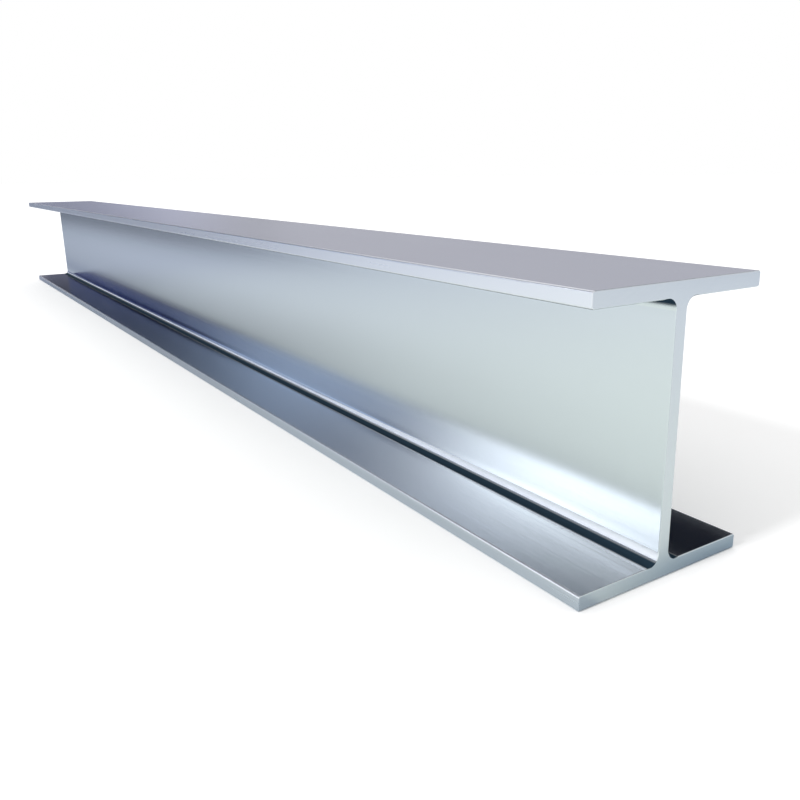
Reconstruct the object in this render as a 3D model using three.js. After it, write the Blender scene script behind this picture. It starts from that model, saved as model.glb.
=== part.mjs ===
// A short length of rolled steel I-beam: one piece of stock with two parallel flanges and a web between
// them. Millimetres, +X along the beam, +Y across the flanges, +Z up through the web. The beam rests on
// its bottom flange, and the origin lies in the middle of that flange's underside.

import * as THREE from 'three';

// Driving sizes of the section, all in millimetres.
const SECTION_DEPTH = 194;
const FLANGE_WIDTH = 150;
const FLANGE_THICKNESS = 10.5;
const WEB_THICKNESS = 10;
const ROOT_RADIUS = 8; // the hollow fillet that the rolls leave where the web runs into a flange
const TOE_RADIUS = 1.5; // the soft outer edges of the flanges

// Driving sizes of the cut length.
const BEAM_LENGTH = 1960;
const END_CHAMFER = 0.6; // the deburred edge all round each sawn end

// The most of the room beside it that a rounding may take, so that a flat is always left between two.
const ROUNDING_SHARE = 0.9;
const ARC_STEPS = 4; // three.js makes twice as many flats on each arc

const STEEL = { name: 'mill_steel', color: 0x9aa0a8, roughness: 0.28, metalness: 1.0 };

/** A radius, or as much of it as the room beside the corner leaves. */
function fitted(radius, room) {
  return Math.min(radius, room * ROUNDING_SHARE);
}

/** The corners of the section's right half, from the underside up, each with its own rounding. */
function halfSectionCorners() {
  const edge = FLANGE_WIDTH / 2;
  const webFace = WEB_THICKNESS / 2;
  const lowerFlangeTop = FLANGE_THICKNESS;
  const upperFlangeUnderside = SECTION_DEPTH - FLANGE_THICKNESS;
  const toe = fitted(TOE_RADIUS, FLANGE_THICKNESS / 2);
  const clearHalfDepth = (upperFlangeUnderside - lowerFlangeTop) / 2;
  const root = fitted(ROOT_RADIUS, Math.min(edge - webFace - toe, clearHalfDepth));
  return [
    { x: edge, y: 0, radius: toe },
    { x: edge, y: lowerFlangeTop, radius: toe },
    { x: webFace, y: lowerFlangeTop, radius: root },
    { x: webFace, y: upperFlangeUnderside, radius: root },
    { x: edge, y: upperFlangeUnderside, radius: toe },
    { x: edge, y: SECTION_DEPTH, radius: toe },
  ];
}

/** A closed outline through square corners, each rounded by an arc that touches both of its sides. */
function roundedOutline(corners) {
  const outline = new THREE.Shape();
  corners.forEach(({ x, y, radius }, index) => {
    const corner = new THREE.Vector2(x, y);
    const before = corners.at(index - 1);
    const after = corners[(index + 1) % corners.length];
    const back = new THREE.Vector2(before.x, before.y).sub(corner).normalize();
    const onward = new THREE.Vector2(after.x, after.y).sub(corner).normalize();
    const centre = corner.clone().addScaledVector(back, radius).addScaledVector(onward, radius);
    const start = onward.clone().negate().angle();
    const end = back.clone().negate().angle();
    const turnsRight = back.clone().negate().cross(onward) < 0;
    outline.absarc(centre.x, centre.y, radius, start, end, turnsRight);
  });
  return outline;
}

/** The whole section: the right half going up, then its mirror image coming down. */
function sectionOutline() {
  const right = halfSectionCorners();
  const left = right.map((corner) => ({ ...corner, x: -corner.x })).reverse();
  return roundedOutline([...right, ...left]);
}

/** The section rolled out along its own Z to the cut length, with a small chamfer round both ends. */
function rolledLength() {
  const chamfer = fitted(END_CHAMFER, Math.min(TOE_RADIUS, FLANGE_THICKNESS / 2, WEB_THICKNESS / 2));
  const geometry = new THREE.ExtrudeGeometry(sectionOutline(), {
    depth: BEAM_LENGTH - 2 * chamfer,
    curveSegments: ARC_STEPS,
    bevelEnabled: true,
    bevelSegments: 1,
    bevelThickness: chamfer,
    bevelSize: chamfer,
    bevelOffset: -chamfer,
  });
  return geometry.translate(0, 0, chamfer - BEAM_LENGTH / 2);
}

/** The beam as it lies: its section turned so that it runs along X and stands up along Z. */
function makeBeam() {
  const beam = new THREE.Mesh(rolledLength(), new THREE.MeshStandardMaterial(STEEL));
  beam.name = 'i_beam';
  const across = new THREE.Vector3(0, 1, 0);
  const up = new THREE.Vector3(0, 0, 1);
  const along = new THREE.Vector3(1, 0, 0);
  beam.setRotationFromMatrix(new THREE.Matrix4().makeBasis(across, up, along));
  return beam;
}

const stock = new THREE.Group();
stock.name = 'steel_beam_stock';
stock.add(makeBeam());

export default stock;
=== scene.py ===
"""A short length of bright rolled steel I-beam lying on a white studio floor.

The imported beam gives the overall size. The shown beam is rolled out again here with true round fillets, and
is dressed in bare steel with sawn ends. Everything is in metres: +X along the beam, +Y across it, +Z up.
"""

import logging
import math
from collections.abc import Callable
from dataclasses import dataclass, field
from enum import Enum

import bmesh
import bpy
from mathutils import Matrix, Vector


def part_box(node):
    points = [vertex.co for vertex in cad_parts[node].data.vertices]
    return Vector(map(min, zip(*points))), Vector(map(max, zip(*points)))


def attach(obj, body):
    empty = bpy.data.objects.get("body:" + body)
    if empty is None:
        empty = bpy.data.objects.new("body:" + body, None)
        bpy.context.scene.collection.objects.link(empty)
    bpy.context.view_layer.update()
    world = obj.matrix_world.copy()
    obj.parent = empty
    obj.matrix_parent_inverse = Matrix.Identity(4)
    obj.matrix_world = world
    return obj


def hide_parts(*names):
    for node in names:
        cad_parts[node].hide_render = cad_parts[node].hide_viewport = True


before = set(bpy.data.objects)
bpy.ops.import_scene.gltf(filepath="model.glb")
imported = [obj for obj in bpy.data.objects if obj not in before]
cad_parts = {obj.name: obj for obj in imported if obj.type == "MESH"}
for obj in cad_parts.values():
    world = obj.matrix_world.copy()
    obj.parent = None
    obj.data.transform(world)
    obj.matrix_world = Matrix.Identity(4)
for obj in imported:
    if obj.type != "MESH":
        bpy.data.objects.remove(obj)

logging.basicConfig(level=logging.INFO, format="%(levelname)s %(name)s: %(message)s")
log = logging.getLogger("beam")

MM = 0.001
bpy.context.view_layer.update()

Colour = tuple[float, float, float]
Socket = bpy.types.NodeSocket

WHITE: Colour = (1.0, 1.0, 1.0)

ARC_PROFILE = 0.5  # the bevel profile that is a true arc

# The floor is a square about the origin. A card that has no edge on one side runs on to the floor's own edge.
FLOOR_SIZE = 60.0
FROM_FLOOR_EDGE = (-30.0, -29.0)
TO_FLOOR_EDGE = (29.0, 30.0)


class Axis(Enum):
    """The directions that the beam's faces and edges run in."""

    ALONG = Vector((1, 0, 0))
    ACROSS = Vector((0, 1, 0))
    UP = Vector((0, 0, 1))


# ----------------------------------------------------------------------------------------------------------
# Node trees


class NodeSheet:
    """Adds nodes to one tree and links them, so that a finish reads as a list of steps."""

    def __init__(self, tree: bpy.types.NodeTree) -> None:
        """Empties a material's or a world's node tree, to start from nothing."""
        self.tree = tree
        self.tree.nodes.clear()

    def add(self, kind: str, **settings: object) -> bpy.types.Node:
        """Adds a node.

        Args:
            kind: The node's type, such as ShaderNodeMath.
            settings: Values for the node's own properties.

        Returns:
            The new node.
        """
        node = self.tree.nodes.new(kind)
        for name, value in settings.items():
            setattr(node, name, value)
        return node

    def feed(self, socket: Socket, value: object) -> None:
        """Links a socket to another socket, or sets its constant.

        Args:
            socket: The input to fill.
            value: An output socket, a number or a colour.
        """
        if isinstance(value, Socket):
            self.tree.links.new(value, socket)
        elif socket.type == "RGBA":
            socket.default_value = (*value, 1.0)
        else:
            socket.default_value = value

    def math(self, operation: str, *values: object, clamp: bool = False) -> Socket:
        """One arithmetic step.

        Args:
            operation: A Math node's operation.
            values: Its one, two or three inputs.
            clamp: Whether the result is held between 0 and 1.

        Returns:
            The result's socket.
        """
        node = self.add("ShaderNodeMath", operation=operation, use_clamp=clamp)
        for socket, value in zip(node.inputs, values):
            self.feed(socket, value)
        return node.outputs[0]

    def vector_math(self, operation: str, *values: object) -> Socket:
        """One step on vectors or colours.

        Args:
            operation: A Vector Math node's operation.
            values: Its inputs, in the node's order.

        Returns:
            The result's socket, a number for a dot product and otherwise a vector.
        """
        node = self.add("ShaderNodeVectorMath", operation=operation)
        for socket, value in zip(node.inputs, values):
            self.feed(socket, value)
        return node.outputs["Value" if operation in {"DOT_PRODUCT", "LENGTH"} else "Vector"]

    def scaled(self, colour: object, amount: object) -> Socket:
        """A colour times a number.

        Args:
            colour: The colour, or its socket.
            amount: The number, or its socket.

        Returns:
            The product's socket.
        """
        node = self.add("ShaderNodeVectorMath", operation="SCALE")
        self.feed(node.inputs["Vector"], colour)
        self.feed(node.inputs["Scale"], amount)
        return node.outputs["Vector"]

    def fade(self, value: Socket, start: float, end: float) -> Socket:
        """A smooth step from 0 at start to 1 at end, where end may be the smaller.

        Args:
            value: The number that the step follows.
            start: Where the step leaves 0.
            end: Where it reaches 1.

        Returns:
            The step's socket.
        """
        flip = end < start
        node = self.add("ShaderNodeMapRange", interpolation_type="SMOOTHSTEP")
        self.feed(node.inputs["Value"], value)
        node.inputs["From Min"].default_value = min(start, end)
        node.inputs["From Max"].default_value = max(start, end)
        node.inputs["To Min"].default_value = 1.0 if flip else 0.0
        node.inputs["To Max"].default_value = 0.0 if flip else 1.0
        return node.outputs["Result"]

    def blend(self, factor: object, low: object, high: object) -> Socket:
        """A mix of two colours.

        Args:
            factor: How much of the second colour shows, from 0 to 1.
            low: The colour at 0.
            high: The colour at 1.

        Returns:
            The mixed colour's socket.
        """
        node = self.add("ShaderNodeMix", data_type="RGBA")
        self.feed(node.inputs[0], factor)
        self.feed(node.inputs[6], low)
        self.feed(node.inputs[7], high)
        return node.outputs[2]


# ----------------------------------------------------------------------------------------------------------
# The studio


class Form(Enum):
    """How a panel stands: flat with straight level edges, or bent round the beam at an even height."""

    FLAT = "flat"
    ROUND = "round"


@dataclass(frozen=True)
class Panel:
    """A soft light or a grey screen of the studio, as the steel sees it. Angles are in degrees.

    Its middle stands at a level heading, turned from +X towards +Y, and it is full for half a width on both
    sides of that and from bottom to top. Each fade is the soft edge beyond. A flat panel stands square to the
    heading that it faces.
    """

    name: str
    form: Form
    heading: float
    half_width: float
    side_fade: float
    bottom: float
    bottom_fade: float
    top: float
    top_fade: float
    colour: Colour
    faces: float = 0.0

    def glow(self, sheet: NodeSheet, direction: Socket) -> Socket:
        """The light that comes from this panel in each direction.

        Args:
            sheet: The world's nodes.
            direction: The direction that is looked in.

        Returns:
            The colour of that light.
        """
        ahead = self.towards(sheet, direction, self.heading)
        sideways = self.towards(sheet, direction, self.heading + 90.0)
        rise = sheet.vector_math("DOT_PRODUCT", direction, tuple(Axis.UP.value))
        aside = sheet.math("DEGREES", sheet.math("ARCTAN2", sheet.math("ABSOLUTE", sideways), ahead))
        if self.form is Form.FLAT:
            out = self.towards(sheet, direction, self.faces)
            height = sheet.math("DEGREES", sheet.math("ARCTAN2", rise, out))
        else:
            height = sheet.math("DEGREES", sheet.math("ARCSINE", rise))
        wide = sheet.fade(aside, self.half_width + self.side_fade, self.half_width)
        above = sheet.fade(height, self.bottom - self.bottom_fade, self.bottom)
        below = sheet.fade(height, self.top + self.top_fade, self.top)
        share = sheet.math("MULTIPLY", sheet.math("MULTIPLY", wide, above), below)
        return sheet.scaled(self.colour, share)

    def towards(self, sheet: NodeSheet, direction: Socket, heading: float) -> Socket:
        """How far a direction points to a level heading."""
        turn = math.radians(heading)
        return sheet.vector_math("DOT_PRODUCT", direction, (math.cos(turn), math.sin(turn), 0.0))


@dataclass(frozen=True)
class FloorCard:
    """A soft-edged patch of painted shade or light on the floor, as the steel sees it. It makes the floor
    darker, brighter or bluer.

    Along and across hold the places where it starts, is full, is still full and ends, in metres.
    """

    name: str
    along: tuple[float, float, float, float]
    across: tuple[float, float, float, float]
    share: Colour

    def gain(self, sheet: NodeSheet, place: Socket) -> Socket:
        """What the floor's colour is multiplied by.

        Args:
            sheet: The floor's nodes.
            place: A point of the floor.

        Returns:
            1 away from the card and 1 + share on it.
        """
        axes = sheet.add("ShaderNodeSeparateXYZ")
        sheet.feed(axes.inputs[0], place)
        cover = None
        for position, (start, full, still_full, end) in zip(axes.outputs, (self.along, self.across)):
            rise = sheet.fade(position, start, full)
            fall = sheet.fade(position, end, still_full)
            strip = sheet.math("MULTIPLY", rise, fall)
            cover = strip if cover is None else sheet.math("MULTIPLY", cover, strip)
        return sheet.vector_math("ADD", sheet.scaled(self.share, cover), WHITE)


@dataclass(frozen=True)
class Studio:
    """The white floor, the light and what the steel reflects.

    Ambient is the even light on matt surfaces, and gleam is the share of the panels' light that the steel
    casts on to the floor. The pool is a painted pool of light: the floor's colour as the steel sees it, by
    its distance in metres from the pool's centre. The flag's corners are places along and up, in metres.
    """

    ambient: float = 0.78
    key_irradiance: float = 1.29
    key_height: float = 32.0
    key_heading: float = -91.0
    key_spread: float = 9.0
    gleam: float = 0.25
    darkness: Colour = (0.002, 0.004, 0.011)
    panels: tuple[Panel, ...] = (
        Panel(
            "key_window", Form.FLAT, heading=-129.0, half_width=7.0, side_fade=14.0,
            bottom=22.0, bottom_fade=6.0, top=25.2, top_fade=5.0,
            colour=(3.27, 3.43, 3.72), faces=-109.0,
        ),
        Panel(
            "low_strip", Form.FLAT, heading=-140.0, half_width=9.0, side_fade=11.0,
            bottom=16.0, bottom_fade=6.0, top=22.0, top_fade=3.0,
            colour=(0.35, 0.40, 0.55), faces=-90.0,
        ),
        Panel(
            "high_strip", Form.FLAT, heading=-148.0, half_width=4.0, side_fade=6.0,
            bottom=31.0, bottom_fade=2.0, top=44.0, top_fade=6.0,
            colour=(0.25, 0.27, 0.34), faces=-90.0,
        ),
        Panel(
            "front_ceiling", Form.FLAT, heading=-142.0, half_width=14.0, side_fade=12.0,
            bottom=44.0, bottom_fade=6.0, top=58.0, top_fade=10.0,
            colour=(0.28, 0.33, 0.44), faces=-90.0,
        ),
        Panel(
            "front_wall", Form.ROUND, heading=-104.0, half_width=14.0, side_fade=8.0,
            bottom=12.0, bottom_fade=10.0, top=60.0, top_fade=20.0,
            colour=(0.62, 0.64, 0.67),
        ),
        Panel(
            "end_wall", Form.ROUND, heading=178.0, half_width=4.0, side_fade=2.5,
            bottom=5.0, bottom_fade=4.0, top=16.0, top_fade=8.0,
            colour=(0.80, 0.82, 0.86),
        ),
        Panel(
            "front_screen", Form.ROUND, heading=-100.0, half_width=28.0, side_fade=18.0,
            bottom=-4.0, bottom_fade=2.0, top=10.0, top_fade=8.0,
            colour=(1.25, 1.30, 1.35),
        ),
        Panel(
            "left_screen", Form.ROUND, heading=-152.5, half_width=5.0, side_fade=5.2,
            bottom=5.0, bottom_fade=6.0, top=14.0, top_fade=6.0,
            colour=(0.48, 0.61, 0.87),
        ),
        Panel(
            "left_glow", Form.FLAT, heading=-165.0, half_width=4.0, side_fade=6.0,
            bottom=18.0, bottom_fade=6.0, top=26.0, top_fade=4.0,
            colour=(0.07, 0.10, 0.40), faces=-90.0,
        ),
        Panel(
            "front_right_screen", Form.ROUND, heading=-50.0, half_width=30.0, side_fade=30.0,
            bottom=-4.0, bottom_fade=2.0, top=26.0, top_fade=12.0,
            colour=(0.90, 0.92, 0.94),
        ),
        Panel(
            "right_screen", Form.ROUND, heading=45.0, half_width=35.0, side_fade=35.0,
            bottom=-4.0, bottom_fade=2.0, top=24.0, top_fade=12.0,
            colour=(0.92, 0.94, 0.96),
        ),
        Panel(
            "right_ceiling", Form.ROUND, heading=10.0, half_width=70.0, side_fade=20.0,
            bottom=32.0, bottom_fade=10.0, top=60.0, top_fade=10.0,
            colour=(0.60, 0.61, 0.64),
        ),
        Panel(
            "back_screen", Form.ROUND, heading=130.0, half_width=24.0, side_fade=18.0,
            bottom=-6.0, bottom_fade=2.0, top=12.0, top_fade=10.0,
            colour=(0.47, 0.465, 0.53),
        ),
        Panel(
            "back_ceiling", Form.ROUND, heading=130.0, half_width=28.0, side_fade=20.0,
            bottom=18.0, bottom_fade=8.0, top=50.0, top_fade=20.0,
            colour=(0.66, 0.68, 0.72),
        ),
        Panel(
            "back_glow", Form.ROUND, heading=175.0, half_width=10.5, side_fade=7.5,
            bottom=-6.0, bottom_fade=2.0, top=0.0, top_fade=8.5,
            colour=(0.61, 0.63, 0.87),
        ),
        Panel(
            "far_ceiling", Form.ROUND, heading=175.0, half_width=25.0, side_fade=12.0,
            bottom=30.0, bottom_fade=8.0, top=60.0, top_fade=10.0,
            colour=(0.60, 0.61, 0.63),
        ),
        Panel(
            "zenith", Form.ROUND, heading=0.0, half_width=180.0, side_fade=1.0,
            bottom=60.0, bottom_fade=10.0, top=90.0, top_fade=1.0,
            colour=(0.76, 0.80, 0.87),
        ),
    )
    pool_centre: tuple[float, float] = (1.1, -0.45)
    pool_reach: float = 8.0
    pool: tuple[tuple[float, Colour], ...] = (
        (0.3, (1.10, 1.20, 1.17)),
        (1.1, (0.93, 1.01, 1.07)),
        (1.7, (0.80, 0.88, 0.98)),
        (2.2, (0.62, 0.69, 0.84)),
        (4.4, (0.48, 0.54, 0.66)),
        (7.0, (0.30, 0.35, 0.45)),
    )
    # Painted shade and painted light on the floor, as the steel sees it, with painted contact shade at the
    # toe and the +X end.
    cards: tuple[FloorCard, ...] = (
        # Painted shade far out in front, to the -X side.
        FloorCard(
            "dark_cloth", along=(*FROM_FLOOR_EDGE, -2.3, -0.3), across=(-1.15, -0.85, -0.72, -0.45),
            share=(-0.95, -0.95, -0.95),
        ),
        # Painted light far out in front.
        FloorCard(
            "bright_sheet", along=(*FROM_FLOOR_EDGE, 1.0, 2.0), across=(*FROM_FLOOR_EDGE, -1.2, -0.9),
            share=(0.46, 0.42, 0.42),
        ),
        FloorCard(
            "far_shade", along=(*FROM_FLOOR_EDGE, 0.0, 0.8), across=(-0.35, -0.10, *TO_FLOOR_EDGE),
            share=(-0.24, -0.24, -0.24),
        ),
        FloorCard(
            "toe_shade", along=(*FROM_FLOOR_EDGE, *TO_FLOOR_EDGE), across=(-0.105, -0.085, -0.06, -0.05),
            share=(-0.36, -0.33, -0.26),
        ),
        FloorCard(
            "end_shade", along=(0.97, 0.98, 0.985, 1.02), across=(-0.14, 0.06, 0.12, 0.25),
            share=(-0.60, -0.52, -0.42),
        ),
        # Painted light beyond the +X end, on the +Y side.
        FloorCard(
            "side_sheet", along=(1.1, 1.6, *TO_FLOOR_EDGE), across=(0.3, 0.8, *TO_FLOOR_EDGE),
            share=(0.28, 0.28, 0.28),
        ),
    )
    flag_low: tuple[float, float] = (0.735, 0.115)
    flag_high: tuple[float, float] = (0.87, 0.19)
    flag_place: float = 0.28
    floor_drop: float = 0.2 * MM
    paper_white: Colour = (1.25, 1.25, 1.25)

    def light(self) -> None:
        """Adds the key lamp. It lights matt surfaces and casts the shadow, and the steel doesn't show it."""
        lamp = bpy.data.lights.new("key_lamp", "SUN")
        lamp.energy = self.key_irradiance
        lamp.angle = math.radians(self.key_spread)
        key = bpy.data.objects.new("key_lamp", lamp)
        heading, height = math.radians(self.key_heading), math.radians(self.key_height)
        level = math.cos(height)
        towards = Vector((math.cos(heading) * level, math.sin(heading) * level, math.sin(height)))
        key.rotation_euler = towards.to_track_quat("Z", "Y").to_euler()
        key.visible_glossy = False
        bpy.context.scene.collection.objects.link(key)

    def surround(self) -> None:
        """Makes the world: white to the camera, even light for matt surfaces and panels for the steel."""
        world = bpy.data.worlds.new("studio")
        world.use_nodes = True
        world.cycles.sampling_method = "NONE"
        bpy.context.scene.world = world
        sheet = NodeSheet(world.node_tree)
        direction = sheet.add("ShaderNodeTexCoord").outputs["Generated"]
        seen = self.darkness
        for panel in self.panels:
            seen = sheet.vector_math("ADD", panel.glow(sheet, direction), seen)
            log.debug("hung %s", panel.name)
        rays = sheet.add("ShaderNodeLightPath")
        from_floor = sheet.math("MINIMUM", rays.outputs["Diffuse Depth"], 1.0)
        reflected = sheet.add("ShaderNodeBackground")
        sheet.feed(reflected.inputs["Color"], seen)
        strength = sheet.math("MULTIPLY_ADD", from_floor, self.gleam - 1.0, 1.0)
        sheet.feed(reflected.inputs["Strength"], strength)
        even = sheet.add("ShaderNodeBackground")
        even.inputs["Strength"].default_value = self.ambient
        backdrop = sheet.add("ShaderNodeBackground")
        for plain in (even, backdrop):
            sheet.feed(plain.inputs["Color"], WHITE)
        for_steel = sheet.add("ShaderNodeMixShader")
        sheet.feed(for_steel.inputs[0], rays.outputs["Is Glossy Ray"])
        sheet.feed(for_steel.inputs[1], even.outputs[0])
        sheet.feed(for_steel.inputs[2], reflected.outputs[0])
        for_camera = sheet.add("ShaderNodeMixShader")
        sheet.feed(for_camera.inputs[0], rays.outputs["Is Camera Ray"])
        sheet.feed(for_camera.inputs[1], for_steel.outputs[0])
        sheet.feed(for_camera.inputs[2], backdrop.outputs[0])
        output = sheet.add("ShaderNodeOutputWorld")
        sheet.feed(output.inputs["Surface"], for_camera.outputs[0])

    def lay_floor(self) -> None:
        """Lays the floor just under the beam. The camera sees it white, and the steel sees it graded, with
        painted light and shade.
        """
        bpy.ops.object.select_all(action="DESELECT")
        bpy.ops.mesh.primitive_plane_add(size=FLOOR_SIZE, location=(0.0, 0.0, -self.floor_drop))
        floor = bpy.context.active_object
        floor.name = "studio_floor"
        floor.data.materials.append(self.floor_finish())

    def floor_finish(self) -> bpy.types.Material:
        """Makes the floor's material.

        Returns:
            A matt white that keeps the beam's shadow.
        """
        material = bpy.data.materials.new("studio_floor")
        material.use_nodes = True
        sheet = NodeSheet(material.node_tree)
        place = sheet.add("ShaderNodeTexCoord").outputs["Object"]
        away = sheet.vector_math("LENGTH", sheet.vector_math("SUBTRACT", place, (*self.pool_centre, 0.0)))
        ramp = sheet.add("ShaderNodeValToRGB")
        sheet.feed(ramp.inputs[0], sheet.math("DIVIDE", away, self.pool_reach))
        halfway = 0.5
        while len(ramp.color_ramp.elements) < len(self.pool):
            ramp.color_ramp.elements.new(halfway)
        for element, (distance, colour) in zip(ramp.color_ramp.elements, self.pool):
            element.position = distance / self.pool_reach
            element.color = (*colour, 1.0)
        # A painted pool of light, as the steel sees the floor; each card then adds painted shade or painted
        # light.
        graded = ramp.outputs[0]
        for card in self.cards:
            graded = sheet.vector_math("MULTIPLY", graded, card.gain(sheet, place))
            log.debug("laid %s", card.name)
        rays = sheet.add("ShaderNodeLightPath")
        matt = sheet.add("ShaderNodeBsdfDiffuse")
        shown = sheet.blend(rays.outputs["Is Camera Ray"], graded, self.paper_white)
        sheet.feed(matt.inputs["Color"], shown)
        output = sheet.add("ShaderNodeOutputMaterial")
        sheet.feed(output.inputs["Surface"], matt.outputs[0])
        return material

    def hang_flag(self) -> None:
        """Hangs a small black flag behind the near end, which only the steel sees, as a painted dark
        reflection in its lower flange.
        """
        (left, bottom), (right, top) = self.flag_low, self.flag_high
        bpy.ops.object.select_all(action="DESELECT")
        bpy.ops.mesh.primitive_plane_add(
            size=1.0,
            location=((left + right) / 2, self.flag_place, (bottom + top) / 2),
            rotation=(math.radians(90.0), 0.0, 0.0),
        )
        flag = bpy.context.active_object
        flag.name = "dark_reflection_flag"
        flag.scale = (right - left, top - bottom, 1.0)
        black = bpy.data.materials.new("flag_cloth")
        black.use_nodes = True
        sheet = NodeSheet(black.node_tree)
        cloth = sheet.add("ShaderNodeEmission")
        sheet.feed(cloth.inputs["Color"], self.darkness)
        output = sheet.add("ShaderNodeOutputMaterial")
        sheet.feed(output.inputs["Surface"], cloth.outputs[0])
        flag.data.materials.append(black)
        # Seen only in the steel: a painted dark reflection in the lower flange.
        flag.visible_camera = False
        flag.visible_diffuse = False
        flag.visible_shadow = False


@dataclass(frozen=True)
class Viewpoint:
    """Where the camera stands: near the +X end, a little above the top flange. Angles are in degrees."""

    place: tuple[float, float, float] = (1.2812, -0.3845, 0.2562)
    tilt: float = 74.616
    roll: float = 0.606
    heading: float = 56.093
    focal_length: float = 35.54
    shift_across: float = -0.0325
    shift_up: float = -0.0125
    sensor_width: float = 36.0
    nearest: float = 0.01
    farthest: float = 200.0

    def set_camera(self) -> None:
        """Adds the camera and makes it the scene's."""
        lens = bpy.data.cameras.new("camera")
        lens.lens = self.focal_length
        lens.sensor_width = self.sensor_width
        lens.shift_x = self.shift_across
        lens.shift_y = self.shift_up
        lens.clip_start = self.nearest
        lens.clip_end = self.farthest
        camera = bpy.data.objects.new("camera", lens)
        camera.location = self.place
        turns = (self.tilt, self.roll, self.heading)
        camera.rotation_euler = tuple(math.radians(angle) for angle in turns)
        bpy.context.scene.collection.objects.link(camera)
        bpy.context.scene.camera = camera


# ----------------------------------------------------------------------------------------------------------
# The section and the steel's finishes


@dataclass(frozen=True)
class Section:
    """The sizes of the beam's cross section. Its middle stands over the origin, and it rests on Z = 0."""

    width: float
    depth: float
    flange_thickness: float = 10.5 * MM
    web_thickness: float = 10.0 * MM
    root_radius: float = 8.0 * MM
    toe_radius: float = 1.5 * MM


@dataclass(frozen=True)
class Drift:
    """Cloudy noise on the steel: how many clouds there are to a metre, and how many finer ones in them."""

    along: float
    around: float
    detail: float


class SteelSheet(NodeSheet):
    """A finish's nodes, with the steel shader at their end and the patterns that both finishes use."""

    def __init__(self, name: str) -> None:
        """Makes an empty metal material.

        Args:
            name: The material's name.
        """
        self.made = bpy.data.materials.new(name)
        self.made.use_nodes = True
        super().__init__(self.made.node_tree)
        self.place = self.add("ShaderNodeTexCoord").outputs["Object"]
        axes = self.add("ShaderNodeSeparateXYZ")
        self.feed(axes.inputs[0], self.place)
        self.height = axes.outputs[2]
        self.aside = self.math("ABSOLUTE", axes.outputs[1])
        self.along = axes.outputs[0]
        self.steel = self.add("ShaderNodeBsdfPrincipled")
        self.steel.inputs["Metallic"].default_value = 1.0
        output = self.add("ShaderNodeOutputMaterial")
        self.feed(output.inputs["Surface"], self.steel.outputs[0])

    def grain(self, spot: Socket, detail: float) -> Socket:
        """Cloudy noise around 0, between about -1 and 1.

        Args:
            spot: Where it is read, with one cloud to a unit.
            detail: How many finer clouds lie in it.

        Returns:
            The noise.
        """
        noise = self.add("ShaderNodeTexNoise")
        self.feed(noise.inputs["Vector"], spot)
        noise.inputs["Scale"].default_value = 1.0
        noise.inputs["Detail"].default_value = detail
        return self.math("MULTIPLY_ADD", noise.outputs[0], 2.0, -1.0)

    def drifted(self, drift: Drift) -> Socket:
        """Noise at its own rates along the beam and across it, from about -1 to 1."""
        rates = (drift.along, drift.around, drift.around)
        return self.grain(self.vector_math("MULTIPLY", self.place, rates), drift.detail)

    def vary(self, base: object, *changes: tuple[Socket, float]) -> Socket:
        """A number with patterns added to it.

        Args:
            base: The number to start from.
            changes: Each pattern and how much of it is added.

        Returns:
            The sum.
        """
        for pattern, amount in changes:
            base = self.math("MULTIPLY_ADD", pattern, amount, base)
        return base

    def emboss(self, *layers: tuple[Socket, float]) -> None:
        """Raises patterns on the surface, one over the other.

        Args:
            layers: Each pattern and how high it stands, in metres.
        """
        normal = None
        for pattern, height in layers:
            bump = self.add("ShaderNodeBump")
            bump.inputs["Distance"].default_value = height
            self.feed(bump.inputs["Height"], pattern)
            if normal:
                self.feed(bump.inputs["Normal"], normal)
            normal = bump.outputs[0]
        self.feed(self.steel.inputs["Normal"], normal)


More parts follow.
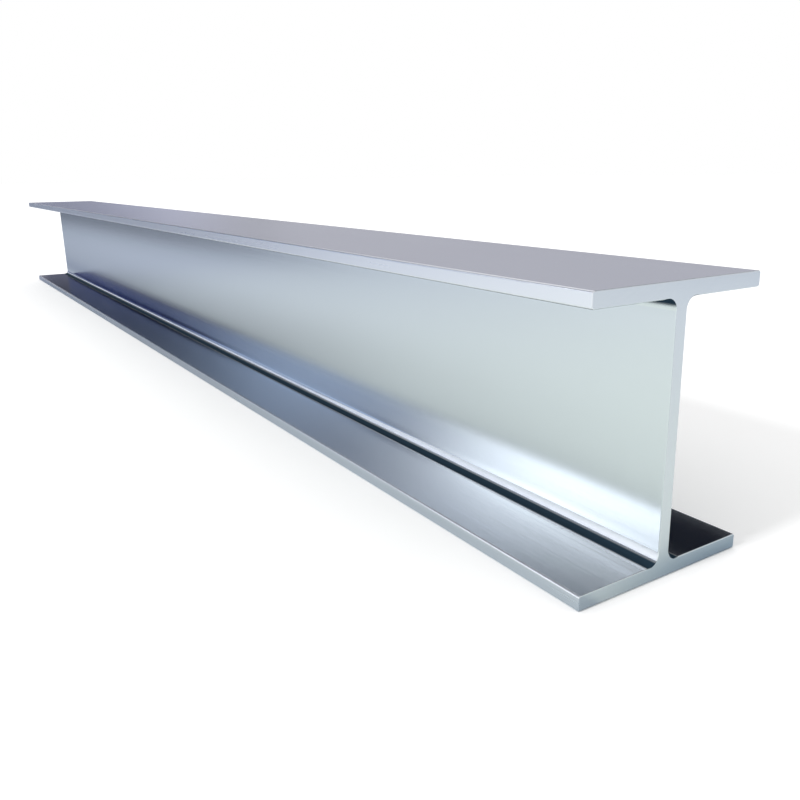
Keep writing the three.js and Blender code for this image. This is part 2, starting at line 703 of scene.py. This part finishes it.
@dataclass(frozen=True)
class RolledSkin:
    """The skin that the rolls leave: bright and smooth, with faint lines drawn out along the beam.

    Dark scale stays in the roots, where the rolls press least, and darkens them further as painted shade.
    The flanges' edges are painted lighter as a highlight, and so is a band in the lower roots, just above the
    scale. The scale and the highlight band stand higher towards the +X end, the highlight band's upper edge
    most of all, so it is wider there. Heights are taken from the flange's inner face.
    """

    name: str = "rolled_skin"
    colour: Colour = (0.63, 0.655, 0.665)
    # The flanges' edges are painted lighter: a painted highlight.
    edge_highlight_colour: Colour = (0.77, 0.77, 0.78)
    # Dark scale in the roots, which also paints shade into them.
    scale_and_shade_colour: Colour = (0.02, 0.038, 0.058)
    # A painted highlight in a band along the lower roots.
    root_highlight_colour: Colour = (0.93, 0.94, 0.95)
    roughness: float = 0.19
    flange_roughness: float = 0.10
    edge_roughness: float = 0.28
    root_highlight_roughness: float = 0.48
    # Where the painted highlight band in the lower roots starts, is full, is still full and ends.
    root_highlight_height: tuple[float, float, float, float] = (2.3 * MM, 3.2 * MM, 4.1 * MM, 5.2 * MM)
    root_rise: float = 0.4 * MM
    root_highlight_rise: float = 4.0 * MM
    # Where scale and painted shade are still full and where they end, above the face and out from the web's
    # middle.
    scale_and_shade_height: tuple[float, float] = (1.2 * MM, 3.0 * MM)
    upper_scale_and_shade_height: tuple[float, float] = (3.0 * MM, 6.0 * MM)
    scale_and_shade_reach: tuple[float, float] = (13.8 * MM, 16.0 * MM)
    # Where each of these starts and where it is full: the rise along the beam, the skin just inside the
    # flange's face, the edge with its painted highlight, counted in toe radii, and the inner face, counted in
    # root radii.
    rise_reach: tuple[float, float] = (0.4, 0.9)
    face_margin: tuple[float, float] = (-0.6 * MM, -0.2 * MM)
    edge_reach_in_toes: tuple[float, float] = (1.6, 1.0)
    inner_reach_in_roots: tuple[float, float] = (2.0, 1.0)
    lines: Drift = Drift(along=2.2, around=300.0, detail=2.0)
    clouds: Drift = Drift(along=5.0, around=11.0, detail=3.0)
    waves: Drift = Drift(along=2.5, around=9.0, detail=0.0)
    cloud_shade: float = 0.02
    line_shade: float = 0.01
    cloud_haze: float = 0.015
    line_haze: float = 0.02
    line_height: float = 0.006 * MM
    wave_height: float = 0.08 * MM

    def material(self, section: Section) -> bpy.types.Material:
        """Makes the finish.

        Args:
            section: The section that the skin covers.

        Returns:
            The material.
        """
        sheet = SteelSheet(self.name)
        lines = sheet.drifted(self.lines)
        clouds = sheet.drifted(self.clouds)
        waves = sheet.drifted(self.waves)
        root = self.in_scale_and_shade(sheet, section)
        root_highlight = self.on_root_highlight(sheet, section)
        edge = self.on_edge(sheet, section)
        inner = self.on_inner_flange(sheet, section)
        shade = sheet.vary(1.0, (clouds, self.cloud_shade), (lines, self.line_shade))
        bare = sheet.scaled(self.colour, shade)
        # Painted highlights: lighter flange edges and a lighter band in the lower roots.
        highlighted = sheet.blend(root_highlight, sheet.blend(edge, bare, self.edge_highlight_colour), self.root_highlight_colour)
        # Dark scale in the roots, darkened further as painted shade.
        dressed = sheet.blend(root, highlighted, self.scale_and_shade_colour)
        sheet.feed(sheet.steel.inputs["Base Color"], dressed)
        sheet.feed(sheet.steel.inputs["Metallic"], sheet.math("SUBTRACT", 1.0, root))
        sheet.steel.inputs["Specular IOR Level"].default_value = 0.0
        gloss = sheet.vary(
            self.roughness,
            (inner, self.flange_roughness - self.roughness),
            (edge, self.edge_roughness - self.roughness),
            (root_highlight, self.root_highlight_roughness - self.flange_roughness),
            (lines, self.line_haze),
            (clouds, self.cloud_haze),
        )
        sheet.feed(sheet.steel.inputs["Roughness"], gloss)
        sheet.emboss((waves, self.wave_height), (lines, self.line_height))
        return sheet.made

    def over_flange(self, sheet: SteelSheet, section: Section) -> Socket:
        """How far a point stands from the nearer flange's inner face, towards the middle of the web.

        Args:
            sheet: The finish's nodes.
            section: The section that the skin covers.

        Returns:
            That height in metres, below 0 in the flange itself.
        """
        from_bottom = sheet.math("SUBTRACT", sheet.height, section.flange_thickness)
        from_top = sheet.math("SUBTRACT", section.depth - section.flange_thickness, sheet.height)
        return sheet.math("MINIMUM", from_bottom, from_top)

    def in_scale_and_shade(self, sheet: SteelSheet, section: Section) -> Socket:
        """Where the scale stays, with painted shade: in the roots, and a little way out over the flange.

        Args:
            sheet: The finish's nodes.
            section: The section that the skin covers.

        Returns:
            1 in the scale and its painted shade and 0 outside it.
        """
        above = self.over_flange(sheet, section)
        upper = sheet.math("GREATER_THAN", sheet.height, section.depth / 2)
        full, end = self.scale_and_shade_height
        upper_full, upper_end = self.upper_scale_and_shade_height
        reach_full, reach_end = self.scale_and_shade_reach
        lower_band = sheet.fade(self.lowered(sheet, above, self.root_rise), end, full)
        upper_band = sheet.fade(above, upper_end, upper_full)
        low = sheet.math("MAXIMUM", lower_band, sheet.math("MULTIPLY", upper_band, upper))
        inside = sheet.fade(above, *self.face_margin)
        near = sheet.fade(sheet.aside, reach_end, reach_full)
        return sheet.math("MULTIPLY", sheet.math("MULTIPLY", low, inside), near)

    def on_root_highlight(self, sheet: SteelSheet, section: Section) -> Socket:
        """Where a highlight is painted on the lower roots, in a band along their hollows.

        Args:
            sheet: The finish's nodes.
            section: The section that the skin covers.

        Returns:
            1 in the band and 0 outside it.
        """
        above = sheet.math("SUBTRACT", sheet.height, section.flange_thickness)
        start, full, still_full, end = self.root_highlight_height
        rise = sheet.fade(self.lowered(sheet, above, self.root_rise), start, full)
        fall = sheet.fade(self.lowered(sheet, above, self.root_highlight_rise), end, still_full)
        return sheet.math("MULTIPLY", rise, fall)

    def lowered(self, sheet: SteelSheet, above: Socket, drop: float) -> Socket:
        """A height that reads lower near the +X end, so that a band that follows it lies higher there."""
        return sheet.math("MULTIPLY_ADD", sheet.fade(sheet.along, *self.rise_reach), -drop, above)

    def on_edge(self, sheet: SteelSheet, section: Section) -> Socket:
        """Where the flanges' outer edges are.

        Args:
            sheet: The finish's nodes.
            section: The section that the skin covers.

        Returns:
            1 on the edges and 0 away from them.
        """
        edge = section.width / 2
        start, full = (edge - toes * section.toe_radius for toes in self.edge_reach_in_toes)
        return sheet.fade(sheet.aside, start, full)

    def on_inner_flange(self, sheet: SteelSheet, section: Section) -> Socket:
        """Where the flanges' inner faces and the roots are.

        Args:
            sheet: The finish's nodes.
            section: The section that the skin covers.

        Returns:
            1 on them and 0 away from them.
        """
        above = self.over_flange(sheet, section)
        start, full = (roots * section.root_radius for roots in self.inner_reach_in_roots)
        near = sheet.fade(above, start, full)
        return sheet.math("MULTIPLY", near, sheet.fade(above, *self.face_margin))


@dataclass(frozen=True)
class SawnEnd:
    """The end face that a cold saw leaves, with the faint curved marks of its teeth."""

    name: str = "sawn_end"
    colour: Colour = (0.615, 0.63, 0.64)
    roughness: float = 0.34
    saw_centre: tuple[float, float, float] = (0.0, -0.16, 0.44)
    marks_per_metre: float = 520.0
    breaks_per_metre: float = 6.0
    mark_detail: float = 2.0
    clouds: Drift = Drift(along=0.0, around=28.0, detail=3.0)
    mark_shade: float = 0.03
    cloud_shade: float = 0.02
    mark_haze: float = 0.04
    cloud_haze: float = 0.02
    mark_height: float = 0.008 * MM

    def material(self) -> bpy.types.Material:
        """Makes the finish.

        Returns:
            The material.
        """
        sheet = SteelSheet(self.name)
        flat = sheet.vector_math("MULTIPLY", sheet.place, (0.0, 1.0, 1.0))
        radius = sheet.vector_math("LENGTH", sheet.vector_math("SUBTRACT", flat, self.saw_centre))
        spot = sheet.add("ShaderNodeCombineXYZ")
        sheet.feed(spot.inputs[0], sheet.math("MULTIPLY", radius, self.marks_per_metre))
        sheet.feed(spot.inputs[1], sheet.math("MULTIPLY", sheet.height, self.breaks_per_metre))
        marks = sheet.grain(spot.outputs[0], self.mark_detail)
        clouds = sheet.drifted(self.clouds)
        shade = sheet.vary(1.0, (marks, self.mark_shade), (clouds, self.cloud_shade))
        sheet.feed(sheet.steel.inputs["Base Color"], sheet.scaled(self.colour, shade))
        gloss = sheet.vary(self.roughness, (marks, self.mark_haze), (clouds, self.cloud_haze))
        sheet.feed(sheet.steel.inputs["Roughness"], gloss)
        sheet.emboss((marks, self.mark_height))
        return sheet.made


# ----------------------------------------------------------------------------------------------------------
# The beam


@dataclass
class RolledBeam:
    """The I-beam: a web between two flanges, rolled in one piece, cut square and deburred."""

    node: str = "i_beam"
    body: str = "root"
    end_chamfer: float = 0.6 * MM
    root_steps: int = 16
    toe_steps: int = 6
    square_on: float = 0.95  # how much of a normal lies along an axis, on a face that stands square to it
    flat_angle: float = 1.0  # in degrees: faces that turn by less are one flat face
    smooth_angle: float = 50.0  # in degrees: edges that turn by less are shaded smooth
    flat_weight: int = 100  # how strongly the large faces hold the shading flat
    skin: RolledSkin = field(default_factory=RolledSkin)
    sawn: SawnEnd = field(default_factory=SawnEnd)
    length: float = field(init=False)
    overhang: float = field(init=False)
    section: Section = field(init=False)
    shape: bpy.types.Object | None = field(init=False, default=None)

    def __post_init__(self) -> None:
        """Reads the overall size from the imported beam."""
        low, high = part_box(self.node)
        self.length, width, depth = high - low
        self.section = Section(width, depth)
        self.overhang = (width - self.section.web_thickness) / 2

    def start_web(self) -> None:
        """Starts from a plate as thick as the web and as deep as the whole beam."""
        bpy.ops.object.select_all(action="DESELECT")
        bpy.ops.mesh.primitive_cube_add(
            size=1.0,
            location=(0.0, 0.0, self.section.depth / 2),
            scale=(self.length - 2 * self.end_chamfer, self.section.web_thickness, self.section.depth),
        )
        self.shape = bpy.context.active_object
        self.shape.name = "rolled_beam"
        self.shape.data.name = "rolled_beam"
        bpy.ops.object.transform_apply(location=True, rotation=True, scale=True)

    def edit(
        self,
        work: Callable[[], object],
        *,
        select_mode: str = "FACE",
        pick: Callable[..., bool] | None = None,
    ) -> None:
        """Picks faces or edges in edit mode and works on them.

        Args:
            work: The operators to run on what is picked.
            select_mode: VERT, EDGE or FACE.
            pick: A test on each face or edge. Without it, everything is picked.
        """
        bpy.ops.object.mode_set(mode="EDIT")
        bpy.ops.mesh.select_mode(type=select_mode)
        bpy.ops.mesh.select_all(action="DESELECT" if pick else "SELECT")
        if pick:
            shape = bmesh.from_edit_mesh(self.shape.data)
            elements = shape.faces if select_mode == "FACE" else shape.edges
            for element in elements:
                if pick(element):
                    element.select_set(True)
            bmesh.update_edit_mesh(self.shape.data)
        work()
        bpy.ops.object.mode_set(mode="OBJECT")

    def draw_flanges(self) -> None:
        """Marks the flanges' inner faces on the plate, and draws the flanges out on both sides of the web."""
        for level in (self.section.flange_thickness, self.section.depth - self.section.flange_thickness):
            self.edit(lambda: bpy.ops.mesh.bisect(plane_co=(0.0, 0.0, level), plane_no=Axis.UP.value))
        for side in (-1, 1):
            self.edit(
                lambda: bpy.ops.mesh.extrude_region_move(
                    TRANSFORM_OT_translate={"value": (0.0, side * self.overhang, 0.0)}
                ),
                pick=lambda face: self.is_flange_band(face, side),
            )
        self.edit(lambda: bpy.ops.mesh.dissolve_limited(angle_limit=math.radians(self.flat_angle)))

    def is_flange_band(self, face: bmesh.types.BMFace, side: int) -> bool:
        """Whether a face of the plate is where a flange starts.

        Args:
            face: A face of the plate.
            side: 1 for the +Y side and -1 for the other.

        Returns:
            True for the top and bottom bands of that side.
        """
        height = face.calc_center_median().z
        thickness = self.section.flange_thickness
        in_band = height < thickness or height > self.section.depth - thickness
        return in_band and face.normal.dot(Axis.ACROSS.value) * side > self.square_on

    def is_root(self, edge: bmesh.types.BMEdge) -> bool:
        """Whether an edge is a corner between the web and a flange."""
        return self.runs_along(edge) and abs(edge.verts[0].co.y) < self.section.width / 4

    def is_toe(self, edge: bmesh.types.BMEdge) -> bool:
        """Whether an edge is an outer corner of a flange."""
        return self.runs_along(edge) and abs(edge.verts[0].co.y) > self.section.width / 4

    def runs_along(self, edge: bmesh.types.BMEdge) -> bool:
        """Whether an edge runs the whole length of the beam."""
        run = edge.verts[1].co - edge.verts[0].co
        return abs(run.dot(Axis.ALONG.value)) > self.length / 2

    def is_end(self, face: bmesh.types.BMFace | bpy.types.MeshPolygon) -> bool:
        """Whether a face is one of the two sawn ends."""
        return abs(face.normal.dot(Axis.ALONG.value)) > self.square_on

    def round_edges(self) -> None:
        """Rounds the roots and the toes of the flanges."""
        for test, radius, steps in (
            (self.is_root, self.section.root_radius, self.root_steps),
            (self.is_toe, self.section.toe_radius, self.toe_steps),
        ):
            self.edit(
                lambda: bpy.ops.mesh.bevel(
                    offset_type="OFFSET",
                    offset=radius,
                    segments=steps,
                    profile=ARC_PROFILE,
                    clamp_overlap=False,
                ),
                select_mode="EDGE",
                pick=test,
            )

    def finish_ends(self) -> None:
        """Draws both ends out to the full length, with the burr filed off all round."""
        burr = self.end_chamfer
        self.edit(
            lambda: bpy.ops.mesh.inset(thickness=burr, depth=burr, use_even_offset=True),
            pick=self.is_end,
        )

    def smooth(self) -> None:
        """Shades the roundings smooth while the flat faces stay flat."""
        bpy.ops.object.shade_smooth_by_angle(angle=math.radians(self.smooth_angle))
        weigh = self.shape.modifiers.new("true_flats", "WEIGHTED_NORMAL")
        weigh.mode = "FACE_AREA"
        weigh.weight = self.flat_weight
        weigh.keep_sharp = True
        bpy.ops.object.modifier_apply(modifier=weigh.name)

    def dress(self) -> None:
        """Gives the rolled faces and the sawn ends their finishes."""
        self.shape.data.materials.append(self.skin.material(self.section))
        self.shape.data.materials.append(self.sawn.material())
        for face in self.shape.data.polygons:
            face.material_index = 1 if self.is_end(face) else 0

    def build(self) -> bpy.types.Object:
        """Models and dresses the beam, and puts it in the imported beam's place.

        Returns:
            The finished piece.
        """
        self.start_web()
        self.draw_flanges()
        self.round_edges()
        self.finish_ends()
        self.smooth()
        self.dress()
        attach(self.shape, self.body)
        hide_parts(self.node)
        log.info("%s has %d faces", self.shape.name, len(self.shape.data.polygons))
        return self.shape


def main() -> None:
    """Builds the beam, the studio and the camera."""
    RolledBeam().build()
    studio = Studio()
    studio.surround()
    studio.light()
    studio.lay_floor()
    studio.hang_flag()
    Viewpoint().set_camera()
    bpy.context.scene.view_settings.view_transform = "Standard"


if __name__ == "__main__":
    main()
